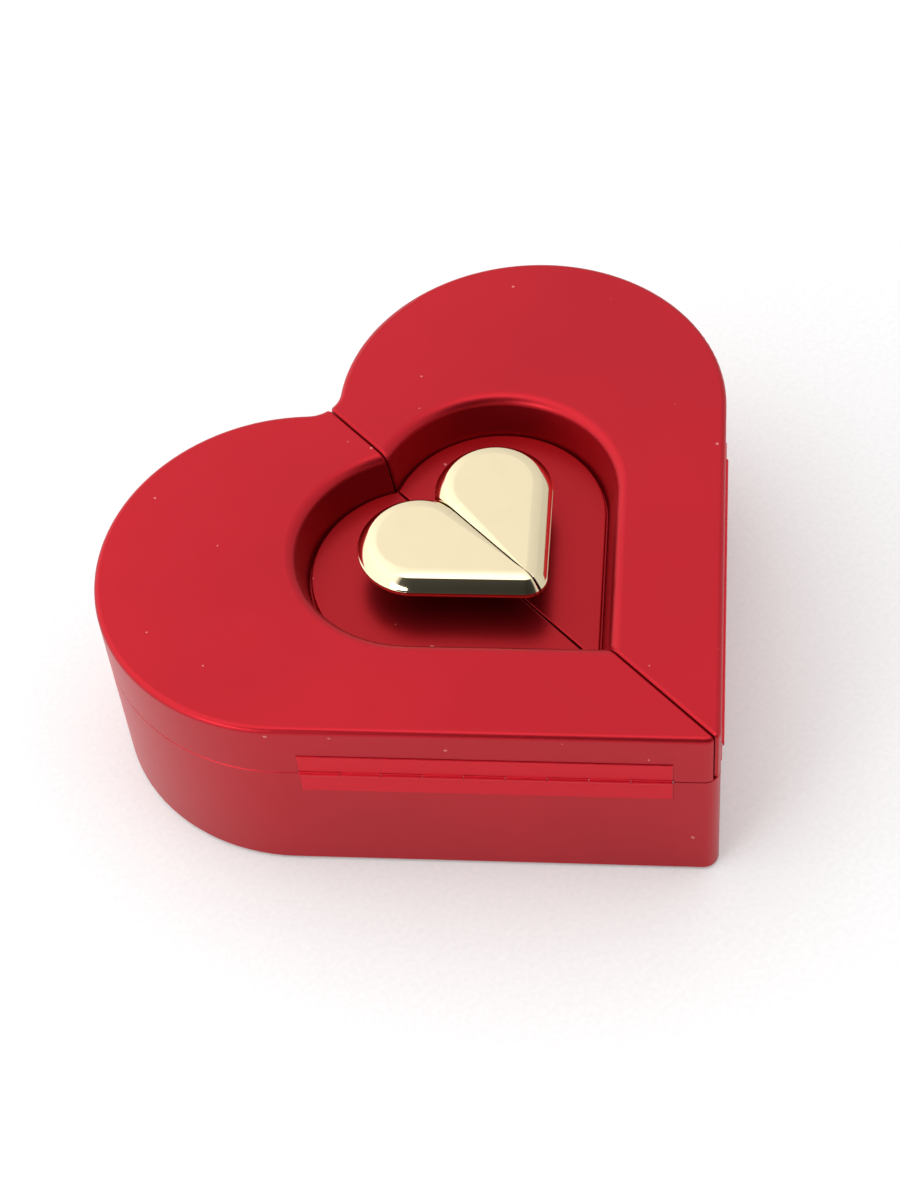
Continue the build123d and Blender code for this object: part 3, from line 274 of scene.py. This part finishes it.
def cap_profile():
    """(inset, height) from the underside up the rim and over the domed edge to the level top."""
    dome, inset, rise = [], 0.1, 0.0
    for width, start, end in BEVEL:
        for cut in range(BEVEL_CUTS):
            tilt = start + (end - start) * (cut + 0.5) / BEVEL_CUTS
            inset += width / BEVEL_CUTS
            rise += width / BEVEL_CUTS * math.tan(math.radians(tilt))
            dome.append((inset, rise))
    rim = CAP_FOOT + RIM_TALL
    shoulder = rim + 0.05
    scale = (CAP_TOP - shoulder) / rise
    edge = [
        (0.12, CAP_FOOT), (0.03, CAP_FOOT + 0.04), (0.0, CAP_FOOT + 0.12),
        (0.0, rim - 0.05), (0.03, rim), (0.1, shoulder),
    ]
    points = edge + [(inset, shoulder + rise * scale) for inset, rise in dome]
    return [(inset - RIM_OUT, z) for inset, z in points]


def half_outline(inset, z):
    """Half of the handle's outline on +X, moved inwards, from the point round to the notch."""
    side, lobe = CAP_SIDE - inset, CAP_LOBE - inset
    tip_r = max(CAP_TIP_R - inset, LEAST_TIP_R)
    tip = CAP_TIP_Y + inset * ROOT2
    reach, pull = side / ROOT2, lobe / ROOT2
    first = math.asin(min(1.0, CAP_SPLIT / tip_r)) - math.pi / 2
    last = math.pi - math.acos(min(1.0, (reach - pull - CAP_SPLIT) / lobe))
    arcs = (
        (0.0, tip + tip_r * ROOT2, tip_r, first, -math.pi / 4, TIP_CUTS),
        (reach - pull, tip + reach + pull, lobe, -math.pi / 4, last, LOBE_CUTS),
    )
    points = []
    for x, y, radius, start, end, cuts in arcs:
        for cut in range(cuts + 1):
            angle = start + (end - start) * cut / cuts
            points.append((x + radius * math.cos(angle), y + radius * math.sin(angle), z))
    return points


def gold_half(name, sign, node, body):
    """One polished half heart with a softly domed edge, in place of the stepped solid. Sign -1 mirrors it."""
    work = bmesh.new()
    rings = [
        [work.verts.new((sign * x * MM, y * MM, z * MM)) for x, y, z in half_outline(inset, z)]
        for inset, z in cap_profile()
    ]

    def face(*corners):
        return work.faces.new(corners if sign > 0 else corners[::-1])

    for low, high in zip(rings, rings[1:]):
        for a, b, c, d in zip(low, low[1:], high[1:], high):
            face(a, b, c, d).smooth = True
    for low, high in zip(rings, rings[1:]):
        face(low[-1], low[0], high[0], high[-1])
    face(*rings[-1])
    face(*rings[0][::-1])
    half = new_object(name, work, finishes["gold"])
    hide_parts(node)
    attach(half, body)


gold_half("gold_heart_right", 1, "handle_cap_right", "door_right")
gold_half("gold_heart_left", -1, "handle_cap_left", "door_left")


# ---------------------------------------------------------------- tune pins
PIN_COLUMNS, PIN_ROWS = 18, 11
PIN_PITCH, PIN_R, PIN_TALL, PIN_SUNK = 1.15, 0.16, 0.42, 0.2       # mm
PIN_TAPER = 0.8        # a pin's end against its root
PIN_GAPS = 0.25        # share of the places left empty
PIN_STRAY = 0.7        # share of a row's spacing over which a pin's place varies
SOLID_PIN_OUT = 0.55   # how far the drum's solid pins stand out, in mm


def tune_pins():
    """Fine steel pins of the tune between the solid's own, one column under each tooth of the comb."""
    low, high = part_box("cylinder_drum")
    arbor_low, arbor_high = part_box("cylinder_arbor")
    axis = (arbor_low + arbor_high) / 2
    drum_r = (high.y - low.y) / 2 - SOLID_PIN_OUT * MM
    middle = (low.x + high.x) / 2
    draw = random.Random(11)
    work = bmesh.new()
    for column in range(PIN_COLUMNS):
        x = middle + (column - (PIN_COLUMNS - 1) / 2) * PIN_PITCH * MM
        for row in range(PIN_ROWS):
            if draw.random() < PIN_GAPS:
                continue
            angle = 2 * math.pi * (row + (1 - PIN_STRAY) / 2 + PIN_STRAY * draw.random()) / PIN_ROWS
            out = drum_r + (PIN_TALL - PIN_SUNK) / 2 * MM
            place = Matrix.Translation((x, axis.y, axis.z)) @ Matrix.Rotation(angle, 4, "X")
            bmesh.ops.create_cone(
                work, cap_ends=True, segments=8, radius1=PIN_R * MM, radius2=PIN_TAPER * PIN_R * MM,
                depth=(PIN_TALL + PIN_SUNK) * MM, matrix=place @ Matrix.Translation((0, 0, out)),
            )
    pins = new_object("tune_pins", work, finishes["steel"])
    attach(pins, "cylinder")


tune_pins()


# ---------------------------------------------------------------- studio
def panel(name, size, spot, aim, power):
    """Rectangular softbox that faces a point."""
    data = bpy.data.lights.new(name, "AREA")
    data.shape = "RECTANGLE"
    data.size, data.size_y = size
    data.energy = power
    lamp = bpy.data.objects.new(name, data)
    bpy.context.scene.collection.objects.link(lamp)
    lamp.location = spot
    lamp.rotation_euler = (Vector(aim) - Vector(spot)).to_track_quat("-Z", "Y").to_euler()


FLOOR_HALF = 3.0       # half its width, in metres
FLOOR_DROP = 0.05      # gap under the feet in mm, so that the faces do not coincide
FLOOR_GREY, FLOOR_GLOW = 0.72, 0.16


def floor():
    """Pale, faintly glowing paper under the box."""
    n = Nodes("floor_paper")
    tooth = n.noise(900, 2.0)
    shade = n.mix(n.span(tooth, 0, 1), (FLOOR_GREY - 0.02,) * 3, (FLOOR_GREY + 0.02,) * 3)
    n.set(Emission_Color=(1, 1, 1, 1), Emission_Strength=FLOOR_GLOW, Specular_IOR_Level=0.1)
    work = bmesh.new()
    bmesh.ops.create_grid(work, x_segments=4, y_segments=4, size=FLOOR_HALF)
    plane = new_object("floor", work, n.finish(shade, n.span(tooth, 0.7, 0.8)))
    plane.location.z = -FLOOR_DROP * MM


# Directions in the room, each with (place, grey) stops: place 1 is straight towards it, and 0 straight away.
ROOM = [
    ((-0.81, 0.58, 0.0), [(0.25, 0.78), (0.44, 0.91), (0.56, 1.06), (0.75, 1.42)]),
    ((-0.52, -0.72, 0.45), [(0.0, 1.0), (0.86, 1.0), (0.905, 0.07), (1.0, 0.03)]),
    ((-0.08, -0.12, 0.99), [(0.0, 0.8), (0.5, 0.8), (0.955, 1.0), (0.98, 1.6)]),
]
ROOM_STRENGTH = 1.36


def surroundings():
    """White room, brighter to the left and overhead, with a soft dark patch in front and above."""
    world = bpy.data.worlds.new("studio")
    world.use_nodes = True
    tree = world.node_tree
    back = tree.nodes["Background"]
    where = tree.nodes.new("ShaderNodeTexCoord")
    product = None
    for toward, stops in ROOM:
        along = tree.nodes.new("ShaderNodeVectorMath")
        along.operation = "DOT_PRODUCT"
        along.inputs[1].default_value = toward
        tree.links.new(where.outputs["Generated"], along.inputs[0])
        shift = tree.nodes.new("ShaderNodeMapRange")
        shift.inputs["From Min"].default_value = -1.0
        tree.links.new(along.outputs["Value"], shift.inputs["Value"])
        level = ramp(tree, shift.outputs["Result"], [(place, (grey,) * 3) for place, grey in stops])
        if product is not None:
            both = tree.nodes.new("ShaderNodeVectorMath")
            both.operation = "MULTIPLY"
            tree.links.new(product, both.inputs[0])
            tree.links.new(level, both.inputs[1])
            level = both.outputs["Vector"]
        product = level
    tree.links.new(product, back.inputs["Color"])
    back.inputs["Strength"].default_value = ROOM_STRENGTH
    bpy.context.scene.world = world
    bpy.context.scene.view_settings.view_transform = "Standard"


# The reference view: angles in degrees, the point looked at, the distance, the lens and the sensor in mm.
AZIMUTH, ELEVATION, ROLL = -35.67, 51.859, 6.331
LOOK_AT, DISTANCE = (5.4, 23.638, 0.6), 569.74
LENS, SENSOR = 78.661, 36


def camera():
    """Camera at the reference view, which is from the left of the point and well above."""
    azimuth, elevation, roll = (math.radians(a) for a in (AZIMUTH, ELEVATION, ROLL))
    back = Vector((
        math.sin(azimuth) * math.cos(elevation),
        -math.cos(azimuth) * math.cos(elevation),
        math.sin(elevation),
    ))
    right = Vector((math.cos(azimuth), math.sin(azimuth), 0))
    up = back.cross(right)
    across = right * math.cos(roll) - up * math.sin(roll)
    upward = right * math.sin(roll) + up * math.cos(roll)
    data = bpy.data.cameras.new("view")
    data.lens = LENS
    data.sensor_fit = "VERTICAL"
    data.sensor_width = data.sensor_height = SENSOR
    data.clip_start, data.clip_end = 0.01, 20
    view = bpy.data.objects.new("view", data)
    bpy.context.scene.collection.objects.link(view)
    turn = Matrix((across, upward, back)).transposed().to_4x4()
    spot = Vector(LOOK_AT) * MM + back * DISTANCE * MM
    view.matrix_world = Matrix.Translation(spot) @ turn
    bpy.context.scene.camera = view


floor()
surroundings()
camera()
panel("left_front", size=(0.20, 0.12), spot=(-0.42, -0.10, 0.20), aim=(-0.05, 0.0, 0.02), power=0.4)
